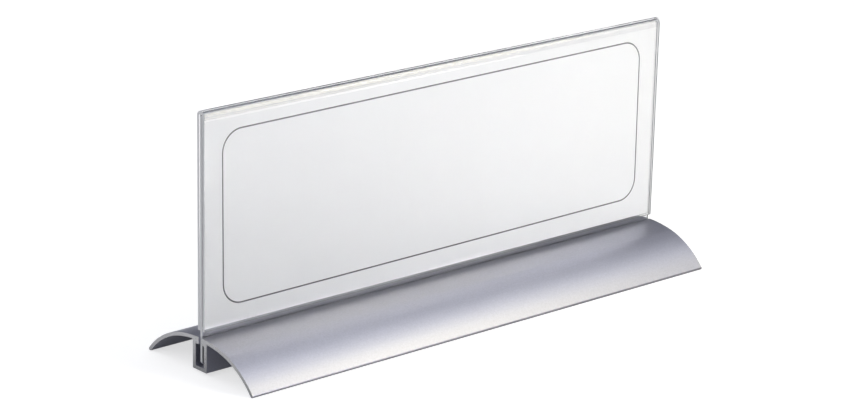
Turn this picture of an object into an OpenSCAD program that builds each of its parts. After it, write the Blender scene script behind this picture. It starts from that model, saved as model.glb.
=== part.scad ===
// Desk name plate: a folded card between clear sheets, standing in an extruded aluminium base.
// X runs along the plate, Y from the front wing to the rear one, Z up from the desk.
// The origin is on the desk, under the middle of the base.

/* [Insert card] */
// Length of the card
card_l = 295; // [150:1:420]
// Height of the folded card
card_h = 105; // [60:1:150]
// Thickness of the card
card_t = 0.2; // [0.15:0.05:0.4]
// Clearance between the card and the centre panel, on each side
card_gap = 0.05; // [0.03:0.01:0.2]
// How much longer the panel and the cover are than the card
end_room = 2; // [0:0.2:12]
// Share of that room at the left end of the card
left_share = 0.1; // [0:0.1:1]

/* [Clear cover] */
// Thickness of the cover's sheet
cover_t = 1.5; // [1:0.1:2.5]
// Clearance between the card and the cover's lower edges, on each side
cover_gap = 0.1; // [0.05:0.01:0.4]
// How much wider the cover is at its bend than at its lower edges, on each side
cover_flare = 0.2; // [0.05:0.05:0.6]
// How far the legs reach below the card
cover_skirt = 1; // [0:0.1:4]
// Open gap between the legs and the crown of the base
cover_stand = 3; // [1:0.1:10]

/* [Centre panel] */
// Thickness of the panel
panel_t = 1.5; // [1:0.1:3]
// Radius of the polished top edge
panel_edge_r = 0.4; // [0.1:0.05:0.45]
// Chamfer of the two lower corners, which leads the panel into the slot
panel_chamfer = 2; // [0.5:0.1:5]
// Clearance between the panel and the slot, on each side
slot_gap = 0.15; // [0.05:0.01:0.4]
// Clearance between the panel and the floor of the channel
floor_gap = 0.1; // [0.05:0.01:0.4]

/* [Base wings] */
// Depth of the base from wing tip to wing tip
base_d = 81.4; // [70:0.2:96]
// How far the base runs past the plate at each end
base_overhang = 1; // [0:0.1:10]
// Thickness of the wings
wing_t = 1.8; // [1.4:0.1:2.6]
// Outer radius of the flatter arc over the middle of the base
crown_r = 72; // [60:1:160]
// Width of that arc, before the shoulders begin
crown_w = 30; // [22:1:40]
// Outer radius of the shoulders
shoulder_r = 46; // [42:1:80]
// Width of the flat along each wing tip that stands on the desk
foot_flat = 1; // [0.4:0.1:1.3]

/* [Base channel] */
// Outer width of the channel under the slot
channel_w = 10.8; // [8.6:0.2:16]
// Thickness of the channel's side walls
channel_wall = 2.2; // [1.2:0.1:2.6]
// Thickness of the channel's floor
channel_floor = 1.9; // [1.2:0.1:3]
// Gap between the channel's underside and the desk
channel_lift = 1.5; // [0.5:0.1:4]
// Depth of the two lips that hold the panel
lip_h = 3.6; // [2.6:0.1:6]
// Chamfer along the lips' top edges
lip_chamfer = 0.3; // [0.1:0.05:0.8]
// Fillet where each wing leaves the channel
root_fillet = 0.8; // [0.3:0.1:2]
// Radius of the channel's corners, inside and out
corner_r = 0.4; // [0.2:0.05:1]

/* [Hidden] */
$fn = 180;
// Extra reach of a cutting shape past the solid that it cuts
cut = 1;
// How much fuller the round bead along a wing tip is than the wing, on each side
tip_bead = 0.03;
// How far the shoulder arc is lifted, so that it crosses the crown arc instead of touching it
blend_lift = 0.03;

// Length of the panel and the cover
plate_l = card_l + end_room;

// The wings' arch: a crown arc that runs on into a tighter arc at each shoulder
base_l = plate_l + 2 * base_overhang;
join_y = crown_w / 2;
join_a = asin(join_y / crown_r);
shoulder_y = join_y - shoulder_r * sin(join_a);
mid_r = shoulder_r - wing_t / 2;
tip_r = wing_t / 2 + tip_bead;
tip_y = base_d / 2 - tip_r;
tip_a = asin((tip_y - shoulder_y) / mid_r);
tip_z = sqrt(pow(tip_r, 2) - pow(foot_flat / 2, 2));
shoulder_z = tip_z - mid_r * cos(tip_a);
crown_z = shoulder_z - blend_lift - (crown_r - shoulder_r) * cos(join_a);
crown_top = crown_z + crown_r;

// The channel and its slot
slot_w = panel_t + 2 * slot_gap;
cavity_w = channel_w - 2 * channel_wall;
cavity_z = channel_lift + channel_floor;
cavity_top = crown_top - lip_h;

// The plate, from the legs of the cover up
leg_z = crown_top + cover_stand;
card_z = leg_z + cover_skirt;
fold_in_r = panel_t / 2 + card_gap;
fold_r = fold_in_r + card_t;
fold_z = card_z + card_h - fold_r;
panel_z = cavity_z + floor_gap;
panel_top = fold_z + panel_edge_r;
leg_gap = fold_r + cover_gap;
bend_in_r = leg_gap + cover_flare;
bend_z = card_z + card_h + cover_gap - bend_in_r;

// Runs a section drawn in Y and Z along X, centred on the origin
module along_x(length) {
    translate([-length / 2, 0, 0])
        rotate([90, 0, 90])
            linear_extrude(length)
                children();
}

// The same shape on both sides of the centre plane
module both_sides() {
    children();
    mirror([1, 0])
        children();
}

// Outline with straight legs and a half-round top, centred on the centre plane
module arch_outline(half_w, top_r, bottom, centre) {
    polygon([[-half_w, bottom], [half_w, bottom], [top_r, centre], [-top_r, centre]]);
    translate([0, centre])
        circle(top_r);
}

// Section of a sheet bent into an inverted U: inner sizes and thickness
module bent_sheet(half_gap, bend, thickness, bottom, centre) {
    difference() {
        arch_outline(half_gap + thickness, bend + thickness, bottom, centre);
        arch_outline(half_gap, bend, bottom, centre);
    }
}

// Rectangle that stands on the X axis, with round corners
module soft_rect(w, h, r) {
    translate([-w / 2, r])
        square([w, h - 2 * r]);
    translate([-w / 2 + r, 0])
        square([w - 2 * r, h]);
    for (x = [-w / 2 + r, w / 2 - r], y = [r, h - r])
        translate([x, y])
            circle(r);
}

// Everything under one side of the arch, drawn in by a distance
module under_arch(inset) {
    reach = 2 * crown_r;
    intersection() {
        translate([0, crown_z])
            circle(crown_r - inset);
        union() {
            translate([0, crown_z])
                polygon([[0, 0], [reach * sin(join_a), reach * cos(join_a)], [0, reach]]);
            translate([shoulder_y, shoulder_z])
                circle(shoulder_r - inset);
        }
    }
}

// One wing, from the centre plane out to its rounded tip
module wing_section() {
    reach = 2 * crown_r;
    intersection() {
        difference() {
            under_arch(0);
            under_arch(wing_t);
        }
        translate([shoulder_y, shoulder_z])
            polygon([
                [-shoulder_y, 0], [0, 0],
                [reach * sin(tip_a), reach * cos(tip_a)], [-shoulder_y, reach]
            ]);
    }
    translate([tip_y, tip_z])
        circle(tip_r);
}

// Metal in the corner between the channel's wall and the wing's underside
module root_fillet_section() {
    under_r = crown_r - wing_t;
    centre_y = channel_w / 2 + root_fillet;
    centre_z = sqrt(pow(under_r - root_fillet, 2) - pow(centre_y, 2));
    turn = atan2(centre_y, centre_z);
    wall_y = (channel_w - channel_wall) / 2;
    wing_r = under_r + wing_t / 2;
    translate([0, crown_z])
        difference() {
            polygon([
                [wall_y, centre_z], [centre_y, centre_z],
                [wing_r * sin(turn), wing_r * cos(turn)], [wall_y, under_r]
            ]);
            translate([centre_y, centre_z])
                circle(root_fillet);
        }
}

// The slot, widened by a chamfer on each lip
module slot_section() {
    bottom = cavity_top - cut;
    mouth = crown_top - lip_chamfer;
    top = crown_top + cut;
    half_top = slot_w / 2 + lip_chamfer + cut;
    polygon([
        [-slot_w / 2, bottom], [slot_w / 2, bottom], [slot_w / 2, mouth],
        [half_top, top], [-half_top, top], [-slot_w / 2, mouth]
    ]);
}

// Extrusion with two curved wings, a box channel and the slot into it
module base_extrusion() {
    channel_h = crown_top - wing_t / 2 - channel_lift;
    color("silver")
        along_x(base_l)
            difference() {
                union() {
                    both_sides()
                        wing_section();
                    both_sides()
                        root_fillet_section();
                    translate([0, channel_lift])
                        soft_rect(channel_w, channel_h, corner_r);
                }
                translate([0, cavity_z])
                    soft_rect(cavity_w, cavity_top - cavity_z, corner_r);
                slot_section();
                translate([-base_d, -base_d])
                    square([2 * base_d, base_d]);
            }
}

// Clear sheet that stands in the slot and carries the card and the cover
module centre_panel() {
    panel_h = panel_top - panel_z;
    color("lightcyan", 0.5)
        difference() {
            along_x(plate_l)
                translate([0, panel_z]) {
                    translate([-panel_t / 2, 0])
                        square([panel_t, panel_h - panel_edge_r]);
                    translate([-panel_t / 2 + panel_edge_r, 0])
                        square([panel_t - 2 * panel_edge_r, panel_h]);
                    for (side = [-1, 1])
                        translate([side * (panel_t / 2 - panel_edge_r), panel_h - panel_edge_r])
                            circle(panel_edge_r);
                }
            for (side = [0, 1])
                mirror([side, 0, 0])
                    translate([plate_l / 2, panel_t, panel_z])
                        rotate([90, 0, 0])
                            linear_extrude(2 * panel_t)
                                polygon([
                                    [-panel_chamfer - cut, -cut], [cut, -cut],
                                    [cut, panel_chamfer + cut]
                                ]);
        }
}

// Card folded lengthwise over the top edge of the panel
module insert_card() {
    color("white")
        translate([(left_share - 0.5) * end_room, 0, 0])
            along_x(card_l)
                bent_sheet(fold_in_r, fold_in_r, card_t, card_z, fold_z);
}

// Clear sheet bent into a narrow U, slipped over the card from above
module clear_cover() {
    color("lightblue", 0.4)
        along_x(plate_l)
            bent_sheet(leg_gap, bend_in_r, cover_t, leg_z, bend_z);
}

base_extrusion();
centre_panel();
insert_card();
clear_cover();
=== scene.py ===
"""Dressed scene of a desk name plate: finishes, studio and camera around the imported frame.

Everything is in metres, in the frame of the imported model: X along the plate, Y from the front wing to the
rear one, Z up from the desk, with the origin on the desk under the middle of the base.
"""

import logging
import math
from dataclasses import dataclass, field
from enum import Enum

import bpy
from mathutils import Matrix, Vector


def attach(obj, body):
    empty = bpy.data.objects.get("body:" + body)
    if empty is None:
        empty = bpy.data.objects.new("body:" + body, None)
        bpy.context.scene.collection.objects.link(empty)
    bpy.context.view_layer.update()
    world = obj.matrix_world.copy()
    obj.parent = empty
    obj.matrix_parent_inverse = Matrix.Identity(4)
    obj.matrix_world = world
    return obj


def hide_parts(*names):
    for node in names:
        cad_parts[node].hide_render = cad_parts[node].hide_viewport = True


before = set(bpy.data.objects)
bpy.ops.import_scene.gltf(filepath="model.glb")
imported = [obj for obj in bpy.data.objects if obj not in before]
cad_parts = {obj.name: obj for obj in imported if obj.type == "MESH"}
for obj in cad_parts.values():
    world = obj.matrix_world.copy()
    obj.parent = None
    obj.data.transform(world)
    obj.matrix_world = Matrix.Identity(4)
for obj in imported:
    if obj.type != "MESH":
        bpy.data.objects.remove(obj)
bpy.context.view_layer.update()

MM = 0.001
ACRYLIC_IOR = 1.49
LOG = logging.getLogger("name_plate")
Pair = tuple[float, float]
Triple = tuple[float, float, float]
Colour = Triple
Socket = bpy.types.NodeSocket
Input = Socket | float | tuple[float, ...]
# Colour of the sheets' lower sawn edges: darker than their ends, partly as frosted acrylic that passes light down,
# and partly as painted shade from the base under them.
FOOT_PAINTED_SHADE: Colour = (0.33, 0.335, 0.34)


class Face(Enum):
    """How a face of a clear sheet is left by its maker, as its material index; the foot's material also carries
    painted shade.
    """

    POLISHED = 0
    END = 1
    FOOT = 2


class Recipe:
    """A shader tree under construction, with short calls for the nodes that the finishes share."""

    def __init__(self, tree: bpy.types.NodeTree) -> None:
        """Empties the tree and keeps it.

        Args:
            tree: Node tree of a material or of the world.
        """
        self.tree = tree
        self.tree.nodes.clear()

    def node(self, kind: str, inputs: dict[str | int, Input] | None = None, **settings: object) -> bpy.types.Node:
        """Adds one node.

        Args:
            kind: Node type, without its leading "ShaderNode".
            inputs: Value or source socket for each input, by name or index.
            **settings: Properties of the node itself.

        Returns:
            The new node.
        """
        made = self.tree.nodes.new("ShaderNode" + kind)
        for key, value in settings.items():
            setattr(made, key, value)
        for key, value in (inputs or {}).items():
            self.feed(made.inputs[key], value)
        return made

    def feed(self, socket: Socket, value: Input) -> None:
        """Links a socket to its source, or sets it to a plain value.

        Args:
            socket: Input to fill.
            value: Source socket, number or vector.
        """
        if isinstance(value, bpy.types.NodeSocket):
            self.tree.links.new(value, socket)
        elif isinstance(value, tuple) and len(value) == 3 and socket.type == "RGBA":
            socket.default_value = (*value, 1.0)
        else:
            socket.default_value = value

    def math(self, operation: str, a: Input, b: Input = 0.0, c: Input = 0.0) -> Socket:
        """Returns the result of one Math node.

        Args:
            operation: Name of the operation.
            a: First operand.
            b: Second operand, where the operation has one.
            c: Third operand, where the operation has one.

        Returns:
            The result's socket.
        """
        return self.node("Math", {0: a, 1: b, 2: c}, operation=operation).outputs[0]

    def ramp(self, value: Input, start: float, end: float, low: float = 0.0, high: float = 1.0) -> Socket:
        """Eases from low to high while a value goes from start to end.

        Args:
            value: Value that drives the change.
            start: Where the change begins.
            end: Where it ends; it may be below start.
            low: Result before start.
            high: Result after end.

        Returns:
            The eased value's socket.
        """
        made = self.node(
            "MapRange",
            {"Value": value, "From Min": start, "From Max": end, "To Min": low, "To Max": high},
            interpolation_type="SMOOTHSTEP",
        )
        return made.outputs["Result"]

    def blend(self, factor: Input, first: Input, second: Input) -> Socket:
        """Mixes two colours.

        Args:
            factor: Share of the second colour.
            first: Colour at factor 0.
            second: Colour at factor 1.

        Returns:
            The mixed colour's socket.
        """
        made = self.node("Mix", data_type="RGBA")
        self.feed(made.inputs[0], factor)
        self.feed(made.inputs[6], first)
        self.feed(made.inputs[7], second)
        return made.outputs[2]

    def shaded(self, colour: Colour, shade: Input) -> Socket:
        """Darkens or lightens a colour.

        Args:
            colour: Plain colour.
            shade: Factor on all three of its channels.

        Returns:
            The shaded colour's socket.
        """
        made = self.node("Mix", data_type="RGBA", blend_type="MULTIPLY")
        self.feed(made.inputs[0], 1.0)
        self.feed(made.inputs[6], colour)
        self.feed(made.inputs[7], self.node("CombineXYZ", {0: shade, 1: shade, 2: shade}).outputs[0])
        return made.outputs[2]

    def place(self) -> Socket:
        """Returns the place on the piece, in metres."""
        return self.node("TexCoord").outputs["Object"]

    def split(self, vector: Input) -> tuple[Socket, Socket, Socket]:
        """Returns the three parts of a vector."""
        made = self.node("SeparateXYZ", {0: vector})
        return made.outputs[0], made.outputs[1], made.outputs[2]

    def grain(self, place: Input, stretch: Triple, detail: float = 3.0, roughness: float = 0.5) -> Socket:
        """Adds a noise whose cells may be longer along one axis.

        Args:
            place: Place on the piece.
            stretch: Cells per metre along X, Y and Z.
            detail: Octaves of the noise.
            roughness: Weight of the finer octaves.

        Returns:
            The noise value's socket, around 0.5.
        """
        scaled = self.node("Mapping", {"Vector": place, "Scale": stretch})
        made = self.node(
            "TexNoise", {"Vector": scaled.outputs[0], "Scale": 1.0, "Detail": detail, "Roughness": roughness}
        )
        return made.outputs[0]

    def about(self, middle: float, spread: float, noise: Input) -> Socket:
        """Returns a value that wanders about its middle as a noise about 0.5 does."""
        return self.math("MULTIPLY_ADD", noise, 2.0 * spread, middle - spread)

    def bump(self, height: Input, depth: float, normal: Input | None = None) -> Socket:
        """Turns a height into a bumped normal.

        Args:
            height: Height, from 0 to 1.
            depth: Real height of 1, in metres.
            normal: Normal that is bumped further, if any.

        Returns:
            The bumped normal's socket.
        """
        made = self.node("Bump", {"Strength": 1.0, "Distance": depth, "Height": height})
        if normal is not None:
            self.feed(made.inputs["Normal"], normal)
        return made.outputs[0]

    def close(self, shader: Socket) -> None:
        """Links the finished shader to a new material output."""
        self.feed(self.node("OutputMaterial").inputs["Surface"], shader)


def fresh_material(name: str) -> tuple[bpy.types.Material, Recipe]:
    """Makes an empty node material.

    Args:
        name: Name of the material.

    Returns:
        The material and the recipe that fills its tree.
    """
    material = bpy.data.materials.new(name)
    material.use_nodes = True
    return material, Recipe(material.node_tree)


@dataclass(frozen=True)
class SatinAnodisedAluminium:
    """Bead-blasted and anodised extrusion: sawn ends and faint die lines, with painted shade darkening the rounded
    wing tips.
    """

    half_length: float
    tip_reach: float
    colour: Colour = (0.52, 0.525, 0.60)
    sawn_colour: Colour = (0.50, 0.50, 0.51)
    worn_colour: Colour = (0.66, 0.66, 0.665)
    # Colour of the painted shade along the rounded wing tips.
    tip_painted_shade_colour: Colour = (0.20, 0.20, 0.22)
    roughness: float = 0.42
    metallic: float = 0.88
    die_lines: Triple = (7.0, 1300.0, 1300.0)
    clouds: Triple = (16.0, 40.0, 40.0)
    blast_grain: Triple = (1100.0, 1100.0, 1100.0)
    rub_streaks: Triple = (60.0, 900.0, 900.0)
    saw_centre: Triple = (0.0, -310.0 * MM, -220.0 * MM)
    saw_rings: float = 420.0
    sawn_skin: Pair = (0.05 * MM, 0.02 * MM)
    worn_edge: Pair = (0.6 * MM, 0.1 * MM)
    worn_share: Pair = (0.45, 0.7)
    tip_painted_shade_band: Pair = (0.22 * MM, 0.06 * MM)
    line_tone: float = 0.03
    cloud_tone: float = 0.04
    blast_tone: float = 0.16
    blast_roughness: float = 0.04
    saw_roughness: float = 0.08
    worn_gloss: float = 0.08
    sawn_gloss: float = 0.06
    blast_relief: float = 0.8
    line_relief: float = 0.2
    grain_depth: float = 0.010 * MM
    saw_depth: float = 0.02 * MM

    def build(self) -> bpy.types.Material:
        """Builds the metal's shader.

        Returns:
            The finished material.
        """
        material, r = fresh_material("satin_anodised_aluminium")
        place = r.place()
        along, depth, _ = r.split(place)
        from_end = r.math("SUBTRACT", self.half_length, r.math("ABSOLUTE", along))
        sawn = r.ramp(from_end, *self.sawn_skin)
        lines = r.grain(place, self.die_lines, detail=4.0)
        cloud = r.grain(place, self.clouds)
        blast = r.grain(place, self.blast_grain, roughness=0.65)
        tone = r.math("MULTIPLY", r.about(1.0, self.line_tone, lines), r.about(1.0, self.cloud_tone, cloud))
        tone = r.math("MULTIPLY", tone, r.about(1.0, self.blast_tone, blast))
        satin = r.shaded(self.colour, tone)
        rub = r.ramp(r.grain(place, self.rub_streaks, detail=4.0), *self.worn_share)
        near_edge = r.ramp(from_end, *self.worn_edge)
        worn = r.math("MULTIPLY", rub, near_edge)
        # Painted shade: a dark line along the rounded wing tips, standing in for the dark that they reflect.
        painted_tip_shade = r.ramp(r.math("ABSOLUTE", depth), *(self.tip_reach - inset for inset in self.tip_painted_shade_band))
        from_saw = r.node("Mapping", {"Vector": place, "Location": tuple(-part for part in self.saw_centre)})
        saw_marks = r.node(
            "TexWave",
            {"Vector": from_saw.outputs[0], "Scale": self.saw_rings, "Distortion": 1.5, "Detail": 2.0},
            wave_type="RINGS",
            rings_direction="X",
        ).outputs["Fac"]
        tint = r.blend(painted_tip_shade, satin, self.tip_painted_shade_colour)
        tint = r.blend(sawn, r.blend(worn, tint, self.worn_colour), self.sawn_colour)
        rough = r.about(self.roughness, self.blast_roughness, blast)
        rough = r.math("ADD", rough, r.math("MULTIPLY", worn, -self.worn_gloss))
        saw_rough = r.about(-self.sawn_gloss, self.saw_roughness, saw_marks)
        rough = r.math("ADD", rough, r.math("MULTIPLY", sawn, saw_rough))
        relief = r.math("MULTIPLY", blast, self.blast_relief)
        relief = r.math("ADD", relief, r.math("MULTIPLY", lines, self.line_relief))
        normal = r.bump(relief, self.grain_depth)
        normal = r.bump(r.math("MULTIPLY", saw_marks, sawn), self.saw_depth, normal)
        body = r.node(
            "BsdfPrincipled",
            {"Base Color": tint, "Metallic": self.metallic, "Roughness": rough, "Normal": normal},
        )
        r.close(body.outputs[0])
        return material


@dataclass(frozen=True)
class ClearAcrylic:
    """Polished face of a clear cast sheet: faint smudges, and a face that eases into a hot bend where it has one."""

    name: str
    tint: Colour = (0.985, 0.99, 0.992)
    polished: float = 0.012
    ease_start: float | None = None
    ease_end: float = 0.0
    ease_slope: float = 0.36
    ease_in: float = 1.5 * MM
    ease_out: float = 0.47 * MM
    smudges: Triple = (18.0, 18.0, 26.0)
    smudge_share: Pair = (0.52, 0.75)
    smudge_roughness: float = 0.02
    waves: Triple = (30.0, 30.0, 30.0)
    wave_depth: float = 0.012 * MM

    def build(self) -> bpy.types.Material:
        """Builds the clear shader, with its easing where the sheet has a bend.

        Returns:
            The finished material.
        """
        material, r = fresh_material(self.name)
        place = r.place()
        _, _, up = r.split(place)
        smudge = r.ramp(r.grain(place, self.smudges, detail=5.0, roughness=0.6), *self.smudge_share)
        normal = r.bump(r.grain(place, self.waves, detail=2.0), self.wave_depth)
        if self.ease_start is not None:
            risen = r.math("SUBTRACT", up, self.ease_start)
            risen = r.math("SMOOTH_MIN", risen, self.ease_end - self.ease_start, self.ease_out)
            risen = r.math("SMOOTH_MAX", risen, 0.0, self.ease_in)
            normal = r.bump(r.math("MULTIPLY", risen, -self.ease_slope), 1.0, normal)
        body = r.node(
            "BsdfPrincipled",
            {
                "Base Color": self.tint,
                "Roughness": r.math("MULTIPLY_ADD", smudge, self.smudge_roughness, self.polished),
                "IOR": ACRYLIC_IOR,
                "Transmission Weight": 1.0,
                "Normal": normal,
            },
        )
        r.close(body.outputs[0])
        return material


@dataclass(frozen=True)
class SawnAcrylic:
    """Sawn and lightly milled edge of an acrylic sheet: a frosted pale grey, with fine cutter marks."""

    name: str
    colour: Colour = (0.70, 0.705, 0.71)
    roughness: float = 0.5
    cutter_marks: Triple = (3000.0, 600.0, 2400.0)
    frosting: Triple = (90.0, 90.0, 45.0)
    cutter_tone: float = 0.08
    frost_tone: float = 0.06
    cutter_roughness: float = 0.08
    mark_depth: float = 0.01 * MM

    def build(self) -> bpy.types.Material:
        """Builds the frosted shader.

        Returns:
            The finished material.
        """
        material, r = fresh_material(self.name)
        place = r.place()
        cutter = r.grain(place, self.cutter_marks, roughness=0.6)
        frost = r.grain(place, self.frosting)
        shade = r.math("MULTIPLY", r.about(1.0, self.cutter_tone, cutter), r.about(1.0, self.frost_tone, frost))
        body = r.node(
            "BsdfPrincipled",
            {
                "Base Color": r.shaded(self.colour, shade),
                "Roughness": r.about(self.roughness, self.cutter_roughness, cutter),
                "IOR": ACRYLIC_IOR,
                "Normal": r.bump(cutter, self.mark_depth),
            },
        )
        r.close(body.outputs[0])
        return material


@dataclass(frozen=True)
class PrintedCard:
    """Smooth white card with a thin printed line, a rectangle with round corners, as its border."""

    paper: Colour = (0.90, 0.902, 0.903)
    ink: Colour = (0.02, 0.025, 0.035)
    centre: Pair = (-0.6 * MM, 75.0 * MM)
    half_size: Pair = (136.4 * MM, 42.95 * MM)
    corner: float = 11.0 * MM
    line_width: float = 0.70 * MM
    line_edge: Pair = (0.56, 0.44)
    tilt: float = math.radians(0.36)
    fibres: Triple = (700.0, 700.0, 1500.0)
    mottling: Triple = (70.0, 70.0, 70.0)
    paper_tone: float = 0.012
    roughness: float = 0.78
    fibre_roughness: float = 0.06
    ink_gloss: float = 0.3
    fibre_depth: float = 0.004 * MM

    def border(self, r: Recipe, place: Socket) -> Socket:
        """Builds the mask of the printed line.

        Args:
            r: Recipe of the card's material.
            place: Place on the card.

        Returns:
            A socket that is 1 on the line and 0 off it.
        """
        moved = r.node("Mapping", {"Vector": place, "Location": (-self.centre[0], 0.0, -self.centre[1])})
        turned = r.node("Mapping", {"Vector": moved.outputs[0], "Rotation": (0.0, self.tilt, 0.0)})
        along, _, up = r.split(turned.outputs[0])
        over = [
            r.math("SUBTRACT", r.math("ABSOLUTE", part), half - self.corner)
            for part, half in zip((along, up), self.half_size)
        ]
        corner = r.node("CombineXYZ", {i: r.math("MAXIMUM", part, 0.0) for i, part in enumerate(over)})
        outside = r.node("VectorMath", {0: corner.outputs[0]}, operation="LENGTH").outputs["Value"]
        inside = r.math("MINIMUM", r.math("MAXIMUM", *over), 0.0)
        distance = r.math("ABSOLUTE", r.math("SUBTRACT", r.math("ADD", outside, inside), self.corner))
        return r.ramp(distance, *(share * self.line_width for share in self.line_edge))

    def build(self) -> bpy.types.Material:
        """Builds the card's shader, with the printed line in it.

        Returns:
            The finished material.
        """
        material, r = fresh_material("printed_white_card")
        place = r.place()
        fibre = r.grain(place, self.fibres, detail=5.0, roughness=0.6)
        mottle = r.grain(place, self.mottling)
        shade = r.math("MULTIPLY", r.about(1.0, self.paper_tone, fibre), r.about(1.0, self.paper_tone, mottle))
        rough = r.about(self.roughness, self.fibre_roughness, fibre)
        line = self.border(r, place)
        body = r.node(
            "BsdfPrincipled",
            {
                "Base Color": r.blend(line, r.shaded(self.paper, shade), self.ink),
                "Roughness": r.math("SUBTRACT", rough, r.math("MULTIPLY", line, self.ink_gloss)),
                "Normal": r.bump(fibre, self.fibre_depth),
            },
        )
        r.close(body.outputs[0])
        return material


@dataclass(frozen=True)
class PaleFloor:
    """Pale studio floor that shows white to the camera and in reflections; it keeps the object's real shadow in its
    diffuse part, and its glow carries painted shadow near the object.
    """

    colour: Colour = (0.80, 0.80, 0.80)
    seen_colour: Colour = (0.46, 0.46, 0.462)
    lift_near: float = 0.80
    lift_far: float = 0.95
    lift_change: Pair = (0.3, 2.2)
    reach: float = 0.22
    open_shadow: float = 0.80
    deep_shadow: float = 0.08
    deepening: float = 8.0

    def build(self) -> bpy.types.Material:
        """Builds the floor's shader.

        Returns:
            The finished material.
        """
        material, r = fresh_material("pale_floor")
        place = r.place()
        path = r.node("LightPath").outputs
        away = r.node("VectorMath", {0: place}, operation="LENGTH").outputs["Value"]
        # Painted shadow: the floor's glow is dimmed where nearby things hide the sky, softly for the camera and
        # deeply in what metal and glass see.
        sky = r.node("AmbientOcclusion", {"Distance": self.reach}, samples=6).outputs["AO"]
        painted_deep_shadow = r.math("POWER", sky, self.deepening)
        painted_deep_shadow = r.math("MULTIPLY_ADD", painted_deep_shadow, 1.0 - self.deep_shadow, self.deep_shadow)
        painted_soft_shadow = r.math("MULTIPLY_ADD", sky, 1.0 - self.open_shadow, self.open_shadow)
        sky = r.node("Mix", {0: path["Is Camera Ray"], 2: painted_deep_shadow, 3: painted_soft_shadow}, data_type="FLOAT").outputs[0]
        strength = r.math("MULTIPLY", sky, r.ramp(away, *self.lift_change, self.lift_near, self.lift_far))
        lit = r.node("BsdfDiffuse", {"Color": self.colour})
        seen = r.node("BsdfDiffuse", {"Color": self.seen_colour})
        lift = r.node("Emission", {"Strength": strength})
        bright = r.node("AddShader", {0: seen.outputs[0], 1: lift.outputs[0]})
        looked_at = r.math("MAXIMUM", path["Is Camera Ray"], path["Is Glossy Ray"])
        looked_at = r.math("MAXIMUM", looked_at, path["Is Transmission Ray"])
        r.close(r.node("MixShader", {0: looked_at, 1: lit.outputs[0], 2: bright.outputs[0]}).outputs[0])
        return material


@dataclass
class BaseExtrusion:
    """Length of aluminium extrusion: two curved wings, a box channel and the slot into it."""

    half_length: float = 149.5 * MM
    tip_reach: float = 40.7 * MM

    def dress(self) -> list[bpy.types.Object]:
        """Gives the extrusion its finish.

        Returns:
            The extrusion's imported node, in a list.
        """
        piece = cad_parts["base_extrusion"]
        coat(piece, SatinAnodisedAluminium(self.half_length, self.tip_reach).build())
        return [piece]


@dataclass
class ClearSheet:
    """A clear acrylic part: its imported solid, merged, with polished faces and sawn edges told apart."""

    node: str
    body: str
    slot: str
    finish: ClearAcrylic
    end_finish: SawnAcrylic
    foot_finish_and_shade: SawnAcrylic
    low_edge: float = 0.0
    weld: float = 0.002 * MM
    crease: float = math.radians(20.0)
    end_facing: float = 0.6
    foot_facing: float = -0.9
    foot_height: float = 0.1 * MM

    def merged_copy(self) -> bpy.types.Object:
        """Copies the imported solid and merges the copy's doubles, so that it can stand for the solid.

        Returns:
            The merged copy, which rides on the sheet's body.
        """
        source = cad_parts[self.node]
        piece = bpy.data.objects.new(self.node + "_sheet", source.data.copy())
        bpy.context.scene.collection.objects.link(piece)
        bpy.ops.object.select_all(action="DESELECT")
        piece.select_set(True)
        bpy.context.view_layer.objects.active = piece
        bpy.ops.object.mode_set(mode="EDIT")
        bpy.ops.mesh.select_all(action="SELECT")
        bpy.ops.mesh.remove_doubles(threshold=self.weld)
        bpy.ops.object.mode_set(mode="OBJECT")
        bpy.ops.object.shade_smooth_by_angle(angle=self.crease)
        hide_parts(self.node)
        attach(piece, self.body)
        return piece

    def kind_of(self, face: bpy.types.MeshPolygon) -> Face:
        """Tells how a face is left by its maker.

        Args:
            face: Face of the sheet.

        Returns:
            End or foot for the sawn faces at both ends and at the lower edge, otherwise polished.
        """
        if abs(face.normal.x) > self.end_facing:
            return Face.END
        if face.normal.z < self.foot_facing and face.center.z < self.low_edge + self.foot_height:
            return Face.FOOT
        return Face.POLISHED

    def dress(self) -> list[bpy.types.Object]:
        """Builds the sheet and gives its faces their finishes.

        Returns:
            The sheet, in a list.
        """
        piece = self.merged_copy()
        piece.data.materials.clear()
        for finish in (self.finish, self.end_finish, self.foot_finish_and_shade):
            piece.data.materials.append(finish.build())
        for face in piece.data.polygons:
            face.material_index = self.kind_of(face).value
        return [piece]


@dataclass
class CentrePanel(ClearSheet):
    """Clear sheet that stands in the slot and carries the card and the cover."""

    node: str = "centre_panel"
    body: str = "panel"
    slot: str = "clear_panel"
    finish: ClearAcrylic = ClearAcrylic("clear_panel_face")
    end_finish: SawnAcrylic = SawnAcrylic("sawn_panel_end")
    foot_finish_and_shade: SawnAcrylic = SawnAcrylic("sawn_panel_foot_painted_shade", FOOT_PAINTED_SHADE)
    low_edge: float = 3.5 * MM


@dataclass
class ClearCover(ClearSheet):
    """Clear sheet bent into a narrow U, slipped over the card from above."""

    node: str = "clear_cover"
    body: str = "cover"
    slot: str = "clear_cover_sheet"
    finish: ClearAcrylic = ClearAcrylic("clear_cover_face", ease_start=124.3 * MM, ease_end=126.38 * MM)
    end_finish: SawnAcrylic = SawnAcrylic("sawn_cover_end")
    foot_finish_and_shade: SawnAcrylic = SawnAcrylic("sawn_cover_foot_painted_shade", FOOT_PAINTED_SHADE)
    low_edge: float = 21.104 * MM


@dataclass
class InsertCard:
    """Card folded lengthwise over the top edge of the panel."""

    finish: PrintedCard = field(default_factory=PrintedCard)

    def dress(self) -> list[bpy.types.Object]:
        """Gives the card its finish.

        Returns:
            The card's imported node, in a list.
        """
        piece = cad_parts["insert_card"]
        coat(piece, self.finish.build())
        return [piece]


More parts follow.
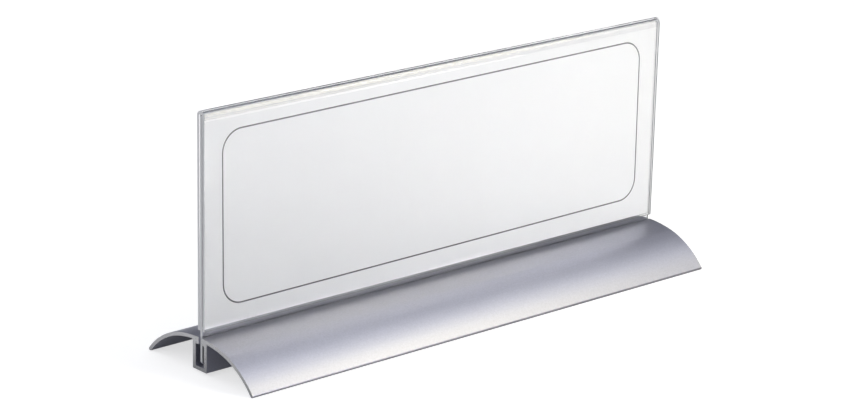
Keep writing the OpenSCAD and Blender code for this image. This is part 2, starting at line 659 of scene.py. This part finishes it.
@dataclass
class Lamp:
    """One soft rectangular studio lamp, aimed at a point of the object."""

    name: str
    place: Vector
    aim: Vector
    size: Pair
    power: float
    colour: Colour = (1.0, 1.0, 1.0)

    def build(self) -> bpy.types.Object:
        """Makes the lamp and hides it from the camera.

        Returns:
            The lamp.
        """
        data = bpy.data.lights.new(self.name, "AREA")
        data.shape = "RECTANGLE"
        data.size, data.size_y = self.size
        data.energy = self.power
        data.color = self.colour
        lamp = bpy.data.objects.new(self.name, data)
        lamp.location = self.place
        lamp.rotation_euler = (self.aim - self.place).to_track_quat("-Z", "Y").to_euler()
        lamp.visible_camera = False
        bpy.context.scene.collection.objects.link(lamp)
        return lamp


@dataclass
class Studio:
    """Plain pale floor, a soft dome of light and six soft lamps."""

    floor_size: float = 30.0
    floor_gap: float = 0.05 * MM
    dome: Colour = (0.245, 0.255, 0.30)
    dome_rise: Pair = (0.0, 0.7)
    horizon_to_top: Pair = (0.85, 1.1)
    dome_depth: Pair = (-0.1, 0.6)
    front_to_back: Pair = (1.05, 0.5)
    lamps: list[Lamp] = field(
        default_factory=lambda: [
            Lamp("right_box", Vector((0.33, -0.37, 0.44)), Vector((0.05, 0.0, 0.06)), (0.3, 0.3), 0.80,
                 (1.0, 0.92, 0.56)),
            Lamp("top_box", Vector((0.50, -0.30, 0.90)), Vector((0.0, -0.02, 0.04)), (0.6, 0.6), 1.43,
                 (0.90, 0.92, 0.97)),
            Lamp("low_box", Vector((0.43, -0.61, 0.08)), Vector((0.05, 0.0, 0.08)), (0.26, 0.13), 0.84,
                 (1.0, 0.96, 0.92)),
            Lamp("front_box", Vector((0.09, -0.50, 0.10)), Vector((0.04, 0.0, 0.07)), (0.16, 0.18), 2.10,
                 (0.965, 0.955, 0.985)),
            Lamp("side_box", Vector((-1.0, 0.15, 0.70)), Vector((-0.15, 0.0, 0.08)), (0.5, 0.5), 1.7),
            Lamp("rear_box", Vector((-0.45, 1.40, 0.30)), Vector((0.0, 0.0, 0.08)), (0.7, 0.4), 13.0),
        ]
    )

    def lay_floor(self) -> bpy.types.Object:
        """Lays the floor and coats it with the pale floor's material.

        Returns:
            The floor.
        """
        bpy.ops.object.select_all(action="DESELECT")
        bpy.ops.mesh.primitive_plane_add(size=self.floor_size, location=(0.0, 0.0, -self.floor_gap))
        floor = bpy.context.object
        floor.name = "studio_floor"
        coat(floor, PaleFloor().build())
        return floor

    def hang_dome(self) -> None:
        """Lights the world as a plain soft dome, darker towards the horizon and behind the object."""
        world = bpy.data.worlds.new("studio_dome")
        world.use_nodes = True
        bpy.context.scene.world = world
        r = Recipe(world.node_tree)
        _, back, up = r.split(r.node("TexCoord").outputs["Generated"])
        rising = r.ramp(up, *self.dome_rise, *self.horizon_to_top)
        strength = r.math("MULTIPLY", rising, r.ramp(back, *self.dome_depth, *self.front_to_back))
        light = r.node("Background", {"Color": self.dome, "Strength": strength})
        r.feed(r.node("OutputWorld").inputs["Surface"], light.outputs[0])

    def build(self) -> list[bpy.types.Object]:
        """Returns the floor and the lamps."""
        self.hang_dome()
        return [self.lay_floor(), *(lamp.build() for lamp in self.lamps)]


@dataclass
class Viewpoint:
    """Camera at the photograph's viewing angle."""

    place: Vector = field(default_factory=lambda: Vector((-913.59, -1022.26, 492.23)) * MM)
    azimuth: float = math.radians(41.514)
    pitch: float = math.radians(17.716)
    roll: float = math.radians(1.258)
    lens: float = 121.664
    sensor: float = 36.0
    clip: Pair = (0.05, 60.0)

    def build(self) -> bpy.types.Object:
        """Makes the camera and sets it as the scene's own.

        Returns:
            The camera.
        """
        level = Vector((math.cos(self.azimuth), -math.sin(self.azimuth), 0.0))
        ahead = Vector((math.sin(self.azimuth), math.cos(self.azimuth), 0.0))
        upright = Vector((0.0, 0.0, 1.0))
        forward = math.cos(self.pitch) * ahead - math.sin(self.pitch) * upright
        down = -math.sin(self.pitch) * ahead - math.cos(self.pitch) * upright
        right = math.cos(self.roll) * level - math.sin(self.roll) * down
        below = math.sin(self.roll) * level + math.cos(self.roll) * down
        data = bpy.data.cameras.new("viewpoint")
        data.lens = self.lens
        data.sensor_width = self.sensor
        data.clip_start, data.clip_end = self.clip
        camera = bpy.data.objects.new("viewpoint", data)
        turn = Matrix((right, -below, -forward)).transposed()
        camera.matrix_world = Matrix.Translation(self.place) @ turn.to_4x4()
        bpy.context.scene.collection.objects.link(camera)
        bpy.context.scene.camera = camera
        return camera


def coat(piece: bpy.types.Object, material: bpy.types.Material) -> None:
    """Puts one material on every slot of a piece.

    Args:
        piece: Piece to coat.
        material: Material that it gets.
    """
    if not piece.material_slots:
        piece.data.materials.append(material)
    for slot in piece.material_slots:
        slot.material = material


def main() -> None:
    """Builds the camera, the object's parts in order and the studio, and reports each piece."""
    logging.basicConfig(level=logging.INFO, format="%(name)s: %(message)s")
    scene = bpy.context.scene
    scene.view_settings.view_transform = "Standard"
    LOG.info("camera %s", Viewpoint().build().name)
    for part in (BaseExtrusion(), CentrePanel(), InsertCard(), ClearCover()):
        for piece in part.dress():
            LOG.info("%s: %s, %d faces", type(part).__name__, piece.name, len(piece.data.polygons))
    for thing in Studio().build():
        LOG.info("stage %s", thing.name)


if __name__ == "__main__":
    main()
